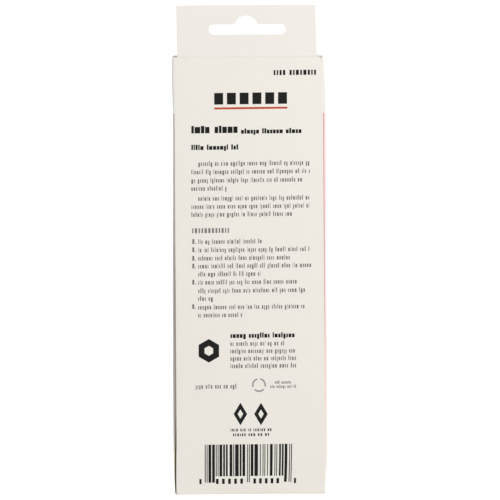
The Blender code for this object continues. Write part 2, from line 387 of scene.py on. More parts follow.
def feed(tree, socket, value):
    """Sets a socket to a value, or links it to another socket."""
    if isinstance(value, bpy.types.NodeSocket):
        tree.links.new(value, socket)
    else:
        socket.default_value = value


def make(tree, kind, inputs=None, **attributes):
    """Adds a node. An input is a value, or a socket to link to."""
    node = tree.nodes.new(kind)
    for key, value in attributes.items():
        setattr(node, key, value)
    for key, value in (inputs or {}).items():
        feed(tree, node.inputs[key], value)
    return node


def material_start(name, roughness, specular):
    """A new material with its node tree, its shader, and the place on the piece."""
    material = bpy.data.materials.new(name)
    material.use_nodes = True
    tree = material.node_tree
    shader = tree.nodes["Principled BSDF"]
    shader.inputs["Roughness"].default_value = roughness
    shader.inputs["Specular IOR Level"].default_value = specular
    place = make(tree, "ShaderNodeTexCoord").outputs["Object"]
    return material, tree, shader, place


def noise(tree, place, scale, detail=3.0, roughness=0.55):
    inputs = {"Vector": place, "Scale": scale, "Detail": detail, "Roughness": roughness}
    return make(tree, "ShaderNodeTexNoise", inputs).outputs["Fac"]


def ranged(tree, value, low, high, to_low, to_high, smooth=False):
    inputs = {"Value": value, "From Min": low, "From Max": high, "To Min": to_low, "To Max": to_high}
    kind = "SMOOTHSTEP" if smooth else "LINEAR"
    return make(tree, "ShaderNodeMapRange", inputs, interpolation_type=kind).outputs["Result"]


def mixed(tree, factor, a, b, blend="MIX"):
    """A colour from a to b. Each is (r, g, b) or a socket."""
    node = make(tree, "ShaderNodeMix", data_type="RGBA", blend_type=blend)
    for number, value in ((0, factor), (6, a), (7, b)):
        feed(tree, node.inputs[number], (*value, 1.0) if isinstance(value, tuple) else value)
    return node.outputs[2]


def maths(tree, operation, a, b=0.0):
    """One sum of two numbers or sockets."""
    return make(tree, "ShaderNodeMath", {0: a, 1: b}, operation=operation).outputs[0]


def bumps(tree, shader, place, coarse, fine, distance):
    """Board surface: slow unevenness from the fibres under the coating, and a fine tooth."""
    height = maths(
        tree,
        "ADD",
        maths(tree, "MULTIPLY", noise(tree, place, 420.0, 2.0), coarse),
        maths(tree, "MULTIPLY", noise(tree, place, 2600.0, 3.0), fine),
    )
    bump = make(tree, "ShaderNodeBump", {"Height": height, "Strength": 1.0, "Distance": distance})
    tree.links.new(bump.outputs["Normal"], shader.inputs["Normal"])


def colour_ramp(tree, fac, stops):
    """The stops are (position, (r, g, b))."""
    node = make(tree, "ShaderNodeValToRGB", {"Fac": fac})
    elements = node.color_ramp.elements
    while len(elements) < len(stops):
        elements.new(0.5)
    for element, (position, colour) in zip(elements, stops):
        element.position = position
        element.color = (*colour, 1.0)
    return node.outputs["Color"]


def coated_board(name, tint, roughness=0.46, field=(), line=None, rubbed=0.10, specular=0.42):
    """White clay-coated board, rubbed at its folds. field is the printed colours up its height.

    line is the colours up its height on the back crease, and the depths, in mm, between which they end; on
    the right panel they are painted shade.
    """
    material, tree, shader, place = material_start(name, roughness, specular)
    axes = make(tree, "ShaderNodeSeparateXYZ", {"Vector": place}).outputs
    colour = tint
    if field:
        up = ranged(tree, axes["Z"], 0.0, BODY_HEIGHT * MM, 0.0, 1.0)
        wander = maths(tree, "MULTIPLY", maths(tree, "SUBTRACT", noise(tree, place, 30.0, 2.0), 0.5), 0.10)
        fac = maths(tree, "ADD", up, wander)
        printed = colour_ramp(tree, fac, field)
        header_edge = ((HEADER - HEADER_EDGE) * MM, (HEADER + HEADER_EDGE) * MM)
        below = ranged(tree, axes["Z"], *header_edge, 1.0, 0.0)
        if line:
            # The print stops short of the flat back panel, a little more so near the bottom
            low, high = (height * MM for height in DRAWN_IN_HEIGHTS)
            drawn_in = ranged(tree, axes["Z"], low, high, DRAWN_IN * MM, 0.0, True)
            out = maths(tree, "SUBTRACT", maths(tree, "ABSOLUTE", axes["X"]), drawn_in)
            past_edge = ranged(tree, out, PRINT_EDGE[0] * MM, PRINT_EDGE[1] * MM, 0.0, 1.0)
            below = maths(tree, "MULTIPLY", below, past_edge)
            # The line along the back crease; on the right panel it is painted shade where the back panel's
            # cut edge shades the crease
            stops, first, last = line
            line_drawn = maths(tree, "MULTIPLY", drawn_in, LINE_DRAWN_IN)
            depth = maths(tree, "SUBTRACT", axes["Y"], line_drawn)
            near = ranged(tree, depth, first * MM, last * MM, 1.0, 0.0, True)
            printed = mixed(tree, near, printed, colour_ramp(tree, fac, stops))
        colour = mixed(tree, below, tint, printed)
    # Slow yellowing, and a fine grain
    broad = ranged(tree, noise(tree, place, 26.0, 2.0), 0.3, 0.7, 0.0, 0.045)
    colour = mixed(tree, broad, colour, (0.80, 0.78, 0.74), "MULTIPLY")
    fine = ranged(tree, noise(tree, place, 1500.0, 4.0), 0.35, 0.75, 0.0, 0.07)
    colour = mixed(tree, fine, colour, (0.72, 0.70, 0.66), "MULTIPLY")
    # Rubbed creases: the coating greys along the four vertical folds
    out, deep = (maths(tree, "ABSOLUTE", axes[axis]) for axis in "XY")
    out = ranged(tree, out, FLAT_HALF_WIDTH * MM, HALF_WIDTH * MM, 0.0, 1.0, True)
    deep = ranged(tree, deep, FLAT_HALF_DEPTH * MM, HALF_DEPTH * MM, 0.0, 1.0, True)
    fold = maths(tree, "MULTIPLY", out, deep)
    patchy = ranged(tree, noise(tree, place, 180.0, 4.0), 0.35, 0.65, 0.15, 1.0)
    worn = maths(tree, "MULTIPLY", maths(tree, "MULTIPLY", fold, patchy), rubbed)
    colour = mixed(tree, worn, colour, (0.50, 0.48, 0.44))
    tree.links.new(colour, shader.inputs["Base Color"])
    rough = ranged(tree, noise(tree, place, 90.0, 3.0), 0.3, 0.7, roughness - 0.05, roughness + 0.07)
    tree.links.new(rough, shader.inputs["Roughness"])
    bumps(tree, shader, place, 1.0, 0.25, 0.000012)
    return material


def grey_back(name):
    """The uncoated inner side of the board: off-white with short fibres and a few specks."""
    material, tree, shader, place = material_start(name, 0.9, 0.2)
    stretched = make(tree, "ShaderNodeMapping", {"Vector": place, "Scale": (1.0, 1.0, 0.7)}).outputs[0]
    fibres = ranged(tree, noise(tree, stretched, 2200.0, 5.0, 0.7), 0.42, 0.62, 0.0, 1.0)
    colour = mixed(tree, fibres, (0.63, 0.60, 0.55), (0.70, 0.67, 0.62))
    specks = make(tree, "ShaderNodeTexVoronoi", {"Vector": place, "Scale": 420.0})
    dark = ranged(tree, specks.outputs["Distance"], 0.04, 0.10, 0.14, 0.0)
    colour = mixed(tree, dark, colour, (0.24, 0.21, 0.18))
    clouds = ranged(tree, noise(tree, place, 60.0, 3.0), 0.3, 0.7, 0.0, 0.16)
    colour = mixed(tree, clouds, colour, (0.75, 0.72, 0.68), "MULTIPLY")
    tree.links.new(colour, shader.inputs["Base Color"])
    bumps(tree, shader, stretched, 0.6, 0.6, 0.000022)
    return material


def cut_edge(name):
    """The cut through the board: fibrous and a little darker than the coated face."""
    material, tree, shader, place = material_start(name, 0.92, 0.2)
    fibres = ranged(tree, noise(tree, place, 3000.0, 5.0, 0.7), 0.4, 0.62, 0.0, 1.0)
    colour = mixed(tree, fibres, (0.60, 0.57, 0.51), (0.78, 0.75, 0.69))
    tree.links.new(colour, shader.inputs["Base Color"])
    bumps(tree, shader, place, 0.4, 1.0, 0.00004)
    return material


def ink(name, colour, roughness=0.5, specular=0.4, thinned=0.05):
    """Flat printing ink: a little uneven where the board's tooth shows through."""
    material, tree, shader, place = material_start(name, roughness, specular)
    thin = ranged(tree, noise(tree, place, 1800.0, 4.0), 0.45, 0.8, 0.0, 0.22)
    lighter = tuple(min(1.0, c * 1.5 + thinned) for c in colour)
    tree.links.new(mixed(tree, thin, colour, lighter), shader.inputs["Base Color"])
    rough = ranged(tree, noise(tree, place, 700.0, 3.0), 0.3, 0.7, roughness - 0.06, roughness + 0.08)
    tree.links.new(rough, shader.inputs["Roughness"])
    bumps(tree, shader, place, 0.5, 0.5, 0.000008)
    return material


back_coat = coated_board("back_panel_coat", WHITE)
tab_coat = coated_board("hang_tab_coat", (0.78, 0.745, 0.70))
# Painted light: the lids' coat is lighter than the other coats, to lift the shade on the tuck fold that
# shows above the back panel's top edge
lid_coat_painted_light = coated_board("lid_coat_painted_light", (0.83, 0.81, 0.765), 0.5)
flap_coat = coated_board("dust_flap_coat", (0.78, 0.76, 0.72), 0.5)
crease_coat = coated_board("crease_coat", (0.745, 0.72, 0.67), 0.6)
left_coat = coated_board(
    "left_panel_coat",
    (0.76, 0.75, 0.72),
    0.62,
    LEFT_FIELD,
    (LEFT_LINE, -12.35, -12.15),
    rubbed=0.03,
    specular=0.12,
)
# The right panel's line is painted shade: darker pink at the seam with the back panel
right_coat = coated_board(
    "right_panel_coat", WHITE, 0.5, RIGHT_FIELD, (RIGHT_SEAM_SHADE, -11.8, -11.5), specular=0.3
)
front_coat = coated_board("front_panel_coat", WHITE, 0.46, RIGHT_FIELD)
inside = grey_back("board_inside")
edges = cut_edge("board_cut_edge")
black_ink = ink("black_ink", (0.009, 0.0085, 0.0085), 0.6, 0.14, 0.02)
text_ink = ink("text_ink", srgb(112, 109, 107))
small_ink = ink("small_text_ink", srgb(142, 139, 137))
red_ink = ink("red_ink", srgb(180, 72, 52), 0.6, 0.15, 0.02)


# The sleeve


BACK, LEFT, FRONT, RIGHT, FLAP = range(5)


def sleeve_columns():
    """The outer face of the folded strip, from the seam's cut edge round to the glue flap's.

    Each column is (x, y, lowest z, highest z, panel).
    """
    seam = HALF_WIDTH - SEAM_INSET
    inner_x, inner_y = FLAT_HALF_WIDTH, FLAT_HALF_DEPTH
    glue_y = -HALF_DEPTH + BOARD + GLUE_LINE
    back_top = BODY_HEIGHT - LEDGE_DROP
    wall_top = BODY_HEIGHT - SEAT
    columns = []
    for run_share, drop_share in ((0, 1), (1 / 2, SHOULDER_BEND), (1, 0)):
        top = back_top - SHOULDER_DROP * drop_share
        columns.append((seam - SHOULDER_RUN * run_share, -HALF_DEPTH, SEAT, top, BACK))

    def run(points, low, high, panel, before=0.5):
        """Adds columns whose ends move evenly to low and high.

        The first of them, up to the share before, still take the last panel.
        """
        last_low, last_high = columns[-1][2:4]
        for i, (x, y) in enumerate(points, 1):
            share = i / len(points)
            ends = (last_low + (low - last_low) * share, last_high + (high - last_high) * share)
            columns.append((x, y, *ends, panel if i > len(points) * before else columns[-1][4]))

    def here():
        return columns[-1][:2]

    turn = CREASE_RADIUS
    run(between(here(), (-inner_x, -HALF_DEPTH), WIDE_STEPS), SEAT, back_top, BACK)
    run(arc((-inner_x, -inner_y), -90, -180, FOLD_STEPS, turn), SEAT, wall_top, LEFT, 0)
    run(between(here(), (-HALF_WIDTH, inner_y), DEEP_STEPS), SEAT, wall_top, LEFT)
    run(arc((-inner_x, inner_y), 180, 90, FOLD_STEPS, turn), 0.0, wall_top, FRONT)
    run(between(here(), (inner_x, HALF_DEPTH), WIDE_STEPS), 0.0, wall_top, FRONT)
    run(arc((inner_x, inner_y), 90, 0, FOLD_STEPS, turn), SEAT, wall_top, RIGHT)
    run(between(here(), (HALF_WIDTH, glue_y + turn), DEEP_STEPS), SEAT, wall_top, RIGHT)
    run(arc((inner_x, glue_y + turn), 0, -90, FOLD_STEPS, turn), SEAT, wall_top, FLAP, 1)
    flap = between(here(), (HALF_WIDTH - GLUE_FLAP, glue_y), FOLD_STEPS)
    run(flap, SEAT + GLUE_FLAP_TAPER, wall_top - GLUE_FLAP_TAPER, FLAP, 0)
    return columns


def up_shares(count):
    """Shares of the height, closer together towards both ends."""
    return [0.5 - 0.5 * math.cos(math.pi * i / count) for i in range(count + 1)]


def make_sleeve():
    columns = sleeve_columns()
    rows = []
    for share in up_shares(SLEEVE_ROWS):
        rows.append([bowed(x, y, low + (high - low) * share) for x, y, low, high, _ in columns])
    panels = [column[-1] for column in columns[1:]]
    outer = [back_coat, left_coat, front_coat, right_coat, inside]
    obj = sheet("sleeve_board", rows, outer, inside, edges, panels)
    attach(obj, "sleeve")
    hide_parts("carton_sleeve")


# The lids


def lid_rows(reach, end_z):
    """The lid's outer face from its crease to the tuck flap's tip: (inward, down, left end, right end)."""
    axis_down = BOARD + GAP / 2
    left = HALF_WIDTH - pinch_at(-1, end_z) - LID_INSET
    right = HALF_WIDTH - pinch_at(1, end_z) - LID_INSET
    tuck = HALF_WIDTH - TUCK_INSET
    start = math.asin((TUCK_FOLD_RADIUS - axis_down) / reach)
    fold_centre = reach * math.cos(start) - TUCK_FOLD_RADIUS
    flat_steps, fold_steps, corner_steps = 10, 8, 12
    rows = [(inward, 0.0, -left, right) for inward in steps(LID_SETBACK, fold_centre, flat_steps)]
    for i in range(1, fold_steps + 1):
        angle = math.radians(90 * i / fold_steps)
        inward = fold_centre + TUCK_FOLD_RADIUS * math.sin(angle)
        down = TUCK_FOLD_RADIUS * (1 - math.cos(angle))
        share = (i / fold_steps) ** 3  # most of the narrowing comes at the fold's end
        rows.append((inward, down, -left + (left - tuck) * share, right + (tuck - right) * share))
    straight = TUCK_LENGTH - TUCK_CORNER
    along = steps(0.0, straight, fold_steps)[1:]
    for i in range(1, corner_steps + 1):
        along.append(straight + TUCK_CORNER * math.sin(math.radians(90 * i / corner_steps)))
    for length in along:
        past = max(0.0, length - straight)
        half = tuck - TUCK_CORNER + math.sqrt(max(0.0, TUCK_CORNER**2 - past**2))
        angle = start + length / reach
        rows.append((reach * math.cos(angle), axis_down + reach * math.sin(angle), -half, half))
    return rows


def make_lid(node, body, reach, top):
    side = 1 if top else -1
    end_z = BODY_HEIGHT if top else 0.0
    rows = []
    for inward, down, left, right in lid_rows(reach, end_z):
        y = side * (HALF_DEPTH - inward)
        z = end_z - side * down
        rows.append([(x, y, z) for x in steps(left, right, LID_COLUMNS)])
    obj = sheet(node + "_board", rows, [lid_coat_painted_light], inside, edges)
    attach(obj, body)
    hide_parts(node)


# The hang tab and the dust flaps


def slot_outline(middle, low):
    """The hanging slot: round ends, and a round bump on its upper edge."""
    end = SLOT_HEIGHT / 2
    reach = SLOT_WIDTH / 2 - end
    high = low + SLOT_HEIGHT
    points = arc((middle - reach, low + end), 90, 270, ARC_STEPS, end)
    points += arc((middle + reach, low + end), -90, 90, ARC_STEPS, end)
    half = BUMP_WIDTH / 2
    radius = (half**2 + BUMP_HEIGHT**2) / (2 * BUMP_HEIGHT)
    bump = middle + BUMP_OFFSET
    centre = (bump, high + BUMP_HEIGHT - radius)
    opening = math.degrees(math.asin(half / radius))
    points.append((bump + half, high))
    points += arc(centre, 90 - opening, 90 + opening, BUMP_STEPS, radius)
    return points


def make_hang_tab():
    foot = BODY_HEIGHT - LEDGE_DROP + GAP
    head = BODY_HEIGHT + TAB_RISE
    half = TAB_WIDTH / 2
    outline = rounded(
        [
            (TAB_OFFSET - half, foot, 0.0),
            (TAB_OFFSET + half, foot, 0.0),
            (TAB_OFFSET + TAB_LEAN + half, head, TAB_CORNER),
            (TAB_OFFSET + TAB_LEAN - half, head, TAB_CORNER),
        ]
    )
    slot = slot_outline(SLOT_OFFSET, BODY_HEIGHT + SLOT_RISE)

    def place(x, y, height):
        return (x, -HALF_DEPTH + BOARD / 2 - height, y)

    obj = plate("hang_tab_board", [outline, slot], place, tab_coat, inside, edges)
    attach(obj, "tab")
    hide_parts("hang_tab")


def make_dust_flap(node, body, reach, top, side):
    """A flap that stays clear of its lid's tuck flap, which turns at the distance reach."""
    end_z = BODY_HEIGHT if top else 0.0
    inner_reach = reach - BOARD
    under = 2 * BOARD + GAP
    clear = HALF_DEPTH + DUST_CLEARANCE
    hinge_edge = math.sqrt(inner_reach**2 - under**2) - clear
    tip_edge = math.sqrt(inner_reach**2 - TUCK_LENGTH**2) - clear
    plain_edge = -(HALF_DEPTH - GLUED - DUST_CLEARANCE)
    outline = rounded(
        [
            (0.0, plain_edge, 0.0),
            (0.0, hinge_edge, 0.0),
            (TUCK_LENGTH, tip_edge, 0.0),
            (DUST_LENGTH, tip_edge - DUST_TIP_TAPER, DUST_CORNER),
            (DUST_LENGTH, plain_edge + DUST_TIP_TAPER, DUST_CORNER),
        ]
    )
    tuck_y = -1 if top else 1
    axis_x = side * (HALF_WIDTH - pinch_at(side, end_z) - SEAT)
    middle_z = end_z + tuck_y * (under - BOARD / 2)

    def place(along, across, height):
        return (axis_x - side * along, tuck_y * across, middle_z - tuck_y * height)

    obj = plate(node + "_board", [outline], place, flap_coat, inside, edges)
    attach(obj, body)
    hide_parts(node)


# Crease strips: the board across each crease


def strip(name, pairs, spans, place):
    """Board across a crease: pairs of outer and inner section points, carried along the crease."""
    mesh = bpy.data.meshes.new(name)
    solid = bmesh.new()
    loop = [pair[0] for pair in pairs] + [pair[1] for pair in reversed(pairs)]
    rings = []
    for span in spans:
        rings.append([solid.verts.new([c * MM for c in place(span, point)]) for point in loop])
    count = len(loop)
    for this, following in zip(rings, rings[1:]):
        for i in range(count):
            j = (i + 1) % count
            solid.faces.new((this[i], this[j], following[j], following[i]))
    for ring in (rings[0], rings[-1]):
        for i in range(len(pairs) - 1):
            solid.faces.new((ring[i], ring[i + 1], ring[count - 2 - i], ring[count - 1 - i]))
    bmesh.ops.recalc_face_normals(solid, faces=solid.faces)
    for face in solid.faces:
        face.smooth = True
    solid.to_mesh(mesh)
    solid.free()
    mesh.set_sharp_from_angle(angle=math.radians(60))
    obj = new_object(name, mesh, [crease_coat])
    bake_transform(obj)


# Outer and inner points of each strip's section. First from the wall's edge round to the lid's edge, as
# (distance in from the wall's face, distance from the lid's face)
LID_CREASE = (
    ((0.0, 0.80), (0.5, 0.80)),
    ((0.005, 0.62), (0.47, 0.70)),
    ((0.02, 0.45), (0.42, 0.62)),
    ((0.045, 0.30), (0.36, 0.56)),
    ((0.08, 0.17), (0.30, 0.525)),
    ((0.125, 0.07), (0.25, 0.508)),
    ((0.20, 0.0), (0.20, 0.50)),
)
# Then from the side wall's edge over to the dust flap, as (distance in from the wall's face, height over
# its edge)
DUST_CREASE = (
    ((0.02, 0.0), (0.10, 0.0)),
    ((0.04, 0.09), (0.12, 0.04)),
    ((0.10, 0.15), (0.16, 0.07)),
    ((0.25, 0.17), (0.27, 0.08)),
    ((0.45, 0.17), (0.45, 0.08)),
    ((0.62, 0.16), (0.62, 0.07)),
    ((0.80, 0.13), (0.80, 0.04)),
    ((1.05, 0.07), (1.05, 0.0)),
)


def lid_crease(name, top):
    """The board round a lid's crease."""
    side = 1 if top else -1
    end_z = BODY_HEIGHT if top else 0.0

    def place(x, point):
        return (x, side * (HALF_DEPTH - point[0]), end_z - side * point[1])

    left = -(HALF_WIDTH - pinch_at(-1, end_z) - CREASE_RADIUS)
    right = HALF_WIDTH - pinch_at(1, end_z) - CREASE_RADIUS
    if not top:
        right = HALF_WIDTH - pinch_at(1, end_z) - SEAM_INSET
    strip(name, LID_CREASE, steps(left, right, CREASE_STEPS), place)


def hang_tab_crease():
    """The board at the tab's foot, a little creased on both faces."""
    low = BODY_HEIGHT - LEDGE_DROP
    pairs = []
    for share in steps(0.0, 1.0, FOLD_STEPS):
        dip = TAB_CREASE_GROOVE * math.sin(math.pi * share)
        z = low + GAP * share
        pairs.append(((-HALF_DEPTH + dip, z), (-HALF_DEPTH + BOARD - dip, z)))

    def place(x, point):
        return (x, *point)

    half = TAB_WIDTH / 2
    spans = steps(TAB_OFFSET - half, TAB_OFFSET + half, CREASE_STEPS)
    strip("hang_tab_crease", pairs, spans, place)


def dust_crease(name, top, side):
    """The board's outer ply, from the side wall's edge over to the dust flap."""
    end_z = BODY_HEIGHT if top else 0.0
    up = 1 if top else -1
    face_x = side * (HALF_WIDTH - pinch_at(side, end_z))
    edge_z = end_z - up * SEAT

    def place(y, point):
        return (face_x - side * point[0], y, edge_z + up * point[1])

    hinge_edge = math.sqrt((TOP_REACH - BOARD) ** 2 - (2 * BOARD + GAP) ** 2) - HALF_DEPTH - DUST_CLEARANCE
    plain_edge = HALF_DEPTH - GLUED - DUST_CLEARANCE
    ends = (-hinge_edge, plain_edge) if top else (-plain_edge, hinge_edge)
    strip(name, DUST_CREASE, steps(*ends, CREASE_STEPS // 2), place)


make_sleeve()
make_lid("top_lid", "lid_top", TOP_REACH, True)
make_lid("bottom_lid", "lid_bottom", BOTTOM_REACH, False)
make_hang_tab()
for end_name, end_reach in (("top", TOP_REACH), ("bottom", BOTTOM_REACH)):
    for hand, hand_side in (("left", -1), ("right", 1)):
        flap_body = f"dust_{end_name}_{hand}"
        make_dust_flap(f"{end_name}_dust_flap_{hand}", flap_body, end_reach, end_name == "top", hand_side)
        dust_crease(f"{end_name}_dust_crease_{hand}", end_name == "top", hand_side)
lid_crease("top_lid_crease", True)
lid_crease("bottom_lid_crease", False)
hang_tab_crease()


# Print: thin raised ink in plain shapes, laid out as on the photographed panel


# The marks of a row, in groups. Widths and spaces are in mean marks, lengths in the height of a tall mark
GROUP_SIZES = (2, 3, 3, 4, 4, 5, 6, 6, 7, 8)
GROUP_SPACE = 0.8
MARK_WIDTHS = (0.75, 1.25)
MIXED_WIDTH = 0.93  # the mean where some marks are tall and narrow
TALL_SHARE = 0.26
TALL_WIDTH = 0.72
TAIL_SHARE = 0.10
TAIL_LENGTH = 0.24
FOOT_DOWN = 0.46  # from the row's middle to the marks' foot


def short_steps(low, high, step):
    """Evenly spaced values that are no further apart than step."""
    return steps(low, high, max(1, math.ceil(abs(high - low) / step)))


class Print:
    """Ink on one face of the sleeve, as closed slabs that follow the face's bow."""

    def __init__(self, name, material, side=-1):
        self.name = name
        self.material = material
        self.side = side
        self.solid = bmesh.new()
        self.pivot = PIXELS / 2  # where a sloping row crosses its own middle line

    def point(self, x, z, proud):
        bx, by, bz = bowed(x, self.side * HALF_DEPTH, z)
        return self.solid.verts.new((bx * MM, (by + self.side * proud) * MM, bz * MM))

    def ribbon(self, pairs, closed=False):
        """A slab between two lines of (x, z) points."""
        front = [[self.point(*p, INK_PROUD) for p in pair] for pair in pairs]
        back = [[self.point(*p, -INK_SUNK) for p in pair] for pair in pairs]
        count = len(pairs)
        for i in range(count if closed else count - 1):
            j = (i + 1) % count
            new = self.solid.faces.new
            new((front[i][0], front[j][0], front[j][1], front[i][1]))
            new((back[i][0], back[i][1], back[j][1], back[j][0]))
            new((front[i][0], back[i][0], back[j][0], front[j][0]))
            new((front[i][1], front[j][1], back[j][1], back[i][1]))
        if not closed:
            for k in (0, -1):
                self.solid.faces.new((front[k][0], front[k][1], back[k][1], back[k][0]))

    def slab(self, grid):
        """A closed slab over a grid of (x, z) points."""
        front = [[self.point(*p, INK_PROUD) for p in line] for line in grid]
        back = [[self.point(*p, -INK_SUNK) for p in line] for line in grid]
        high, wide = len(grid) - 1, len(grid[0]) - 1
        new = self.solid.faces.new
        for i in range(high):
            for j in range(wide):
                for side in (front, back):
                    new((side[i][j], side[i][j + 1], side[i + 1][j + 1], side[i + 1][j]))
        rim = [(0, j) for j in range(wide)] + [(i, wide) for i in range(high)]
        rim += [(high, j) for j in range(wide, 0, -1)] + [(i, 0) for i in range(high, 0, -1)]
        for (i, j), (m, n) in zip(rim, rim[1:] + rim[:1]):
            new((front[i][j], front[m][n], back[m][n], back[i][j]))

    def block(self, x0, x1, z0, z1):
        """An upright rectangle, in steps short enough to follow the bow."""
        across = short_steps(x0, x1, PRINT_STEP)
        self.slab([[(x, z) for x in across] for z in short_steps(z0, z1, PRINT_STEP)])

    def pixel_block(self, left, right, top, bottom):
        """A rectangle given by its edges in the photograph's frame."""
        pixel_step = PRINT_STEP * PIXELS_PER_MM
        across = short_steps(left, right, pixel_step)
        up = short_steps(bottom, top, pixel_step)
        self.slab([[on_panel(px, py - PRINT_SLOPE * (px - self.pivot)) for px in across] for py in up])

    def row(
        self, rng, left, right, middle, height=4.8, pitch=2.2, gap=0.92, caps=False, groups=None, low=0.72
    ):
        """A row of small marks in groups, in the photograph's pixels: no letters.

        height is a tall mark's, and low the others' share of it. With caps all are tall. pitch is the room
        for one mark and gap the space after it. groups gives their sizes, or else they come from rng.
        """
        self.pivot = (left + right) / 2
        if groups is None:
            groups, room = [], (right - left) / pitch
            while room > 0.5:
                groups.append(min(rng.choice(GROUP_SIZES), max(1, round(room))))
                room -= groups[-1] * (1.0 if caps else MIXED_WIDTH) + GROUP_SPACE
        marks, x = [], 0.0
        for count in groups:
            for _ in range(count):
                kind = rng.random()
                width = rng.uniform(*MARK_WIDTHS) * (TALL_WIDTH if kind < TALL_SHARE and not caps else 1.0)
                marks.append((x, width, kind))
                x += width
            x += GROUP_SPACE
        stretch = (right - left + gap) / (x - GROUP_SPACE)
        foot = middle + height * FOOT_DOWN
        for x, width, kind in marks:
            top = foot - height * (1.0 if caps or kind < TALL_SHARE else low)
            bottom = foot + (height * TAIL_LENGTH if kind > 1 - TAIL_SHARE and not caps else 0.0)
            self.pixel_block(left + x * stretch, left + (x + width) * stretch - gap, top, bottom)

    def finish(self):
        bmesh.ops.recalc_face_normals(self.solid, faces=self.solid.faces)
        mesh = bpy.data.meshes.new(self.name)
        self.solid.to_mesh(mesh)
        self.solid.free()
        obj = new_object(self.name, mesh, [self.material])
        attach(obj, "sleeve")


rng = random.Random(7)

heading = Print("print_headings", black_ink)
heading.row(rng, 273.7, 316.1, 72.6, 5.1, 3.1, 1.3, caps=True, groups=(4, 8))
heading.row(rng, 190.8, 237.4, 129.8, 7.4, 4.4, 0.75, groups=(4, 5), low=0.86)
heading.row(rng, 241.0, 301.4, 131.0, 5.2, 2.9, 0.6, groups=(6, 7, 5))
heading.row(rng, 190.8, 238.0, 147.4, 5.2, 2.9, 0.65, groups=(5, 7, 3))
heading.row(rng, 230.4, 294.5, 335.2, 5.2, 2.9, 0.7)
heading.finish()

title = Print("print_title_blocks", black_ink)
BLOCKS = 6
BLOCK_GAP = 3.8
BLOCKS_LEFT, BLOCKS_RIGHT, BLOCKS_TOP, BLOCKS_FOOT = 214.0, 287.0, 92.6, 104.2
block_pitch = (BLOCKS_RIGHT - BLOCKS_LEFT + BLOCK_GAP) / BLOCKS
for number in range(BLOCKS):
    block_left = BLOCKS_LEFT + number * block_pitch
    title.pixel_block(block_left, block_left + block_pitch - BLOCK_GAP, BLOCKS_TOP, BLOCKS_FOOT)
title.finish()

rule = Print("print_red_rule", red_ink)
rule.pixel_block(BLOCKS_LEFT, 287.4, 107.1, 109.1)
rule.finish()

body_text = Print("print_text_rows", text_ink)
# (left, right, middle) of each row
UPPER_ROWS = (
    (197.9, 309.2, 163.2),
    (191.0, 309.8, 171.5),
    (191.0, 302.0, 180.0),
    (191.0, 226.4, 188.5),
    (197.9, 309.2, 198.0),
    (191.2, 309.2, 206.1),
    (191.2, 291.8, 214.2),
)
for row_left, row_right, row_middle in UPPER_ROWS:
    body_text.row(rng, row_left, row_right, row_middle)
body_text.row(rng, 192.0, 228.9, 230.8, 4.9, 3.0, 1.45, caps=True, groups=(12,))
# (whether the row starts with a block and a dot, right, middle)
LIST_ROWS = (
    (True, 261.6, 241.5),
    (True, 309.2, 249.5),
    (True, 289.7, 257.8),
    (True, 311.0, 265.6),
    (False, 260.4, 273.9),
    (True, 296.6, 281.9),
    (False, 304.9, 290.3),
    (False, 212.8, 298.7),
    (True, 304.4, 306.7),
    (False, 242.0, 315.0),
)
for marked, row_right, row_middle in LIST_ROWS:
    if marked:
        body_text.pixel_block(192.2, 194.2, row_middle - 2.6, row_middle + 2.2)
        body_text.pixel_block(195.0, 195.8, row_middle + 1.3, row_middle + 2.2)
    body_text.row(rng, 198.2, row_right, row_middle)
# (right, middle)
LOWER_ROWS = ((284.0, 343.4), (294.9, 350.8), (295.8, 358.2), (296.0, 365.6))
for row_right, row_middle in LOWER_ROWS:
    body_text.row(rng, 230.4, row_right, row_middle)
body_text.row(rng, 195.8, 236.3, 386.4)
body_text.finish()

small_text = Print("print_small_rows", small_ink)
small_text.row(rng, 274.8, 290.9, 382.2, 3.2, 1.7, 0.45)
small_text.row(rng, 270.2, 296.0, 386.4, 3.2, 1.7, 0.45)
small_text.finish()

bold_small = Print("print_small_bold_rows", black_ink)
bold_small.row(rng, 230.6, 271.4, 430.0, 2.7, 2.0, 1.0, caps=True)
bold_small.row(rng, 233.0, 269.0, 434.8, 2.7, 2.3, 1.1, caps=True)
bold_small.finish()


def ring_points(cx, cy, radius, corners, start, flatten):
    """Corners round a centre, in the photograph's pixels."""
    turns = [start + 2 * math.pi * i / corners for i in range(corners)]
    return [(cx + radius * flatten * math.cos(turn), cy + radius * math.sin(turn)) for turn in turns]


def along_edges(corners, steps_each):
    """Corners with evenly spaced points added on the edges between them."""
    points = []
    for i, corner in enumerate(corners):
        following = corners[(i + 1) % len(corners)]
        for k in range(steps_each):
            points.append(tuple(a + (b - a) * k / steps_each for a, b in zip(corner, following)))
    return points


def frame_mark(target, cx, cy, radii, corners, start=0.0, flatten=1.0):
    """A closed frame of straight sides between an outer and an inner radius."""
    outer, inner = (along_edges(ring_points(cx, cy, r, corners, start, flatten), 4) for r in radii)
    target.ribbon([(on_panel(*a), on_panel(*b)) for a, b in zip(outer, inner)], closed=True)


hexagon = Print("print_hexagon_ring", black_ink)
frame_mark(hexagon, 208.8, 350.8, (11.8, 5.0), 6, math.pi / 6)
hexagon.finish()

diamonds = Print("print_diamond_marks", black_ink)
for diamond_x in (240.4, 261.0):
    frame_mark(diamonds, diamond_x, 414.0, (11.3, 4.6), 4, flatten=0.60)
diamonds.finish()

ring = Print("print_ring_segments", small_ink)
RING_X, RING_Y, RING_RADII = 259.0, 385.0, (5.4, 7.0)
SEGMENT_START, SEGMENT_SWEEP = -78, 92
for segment in range(3):
    first_angle = 120 * segment + SEGMENT_START
    pairs = []
    for degrees in steps(first_angle, first_angle + SEGMENT_SWEEP, 12):
        c, s = math.cos(math.radians(degrees)), math.sin(math.radians(degrees))
        pairs.append(tuple(on_panel(RING_X + r * c, RING_Y + r * s) for r in RING_RADII))
    ring.ribbon(pairs)
ring.finish()

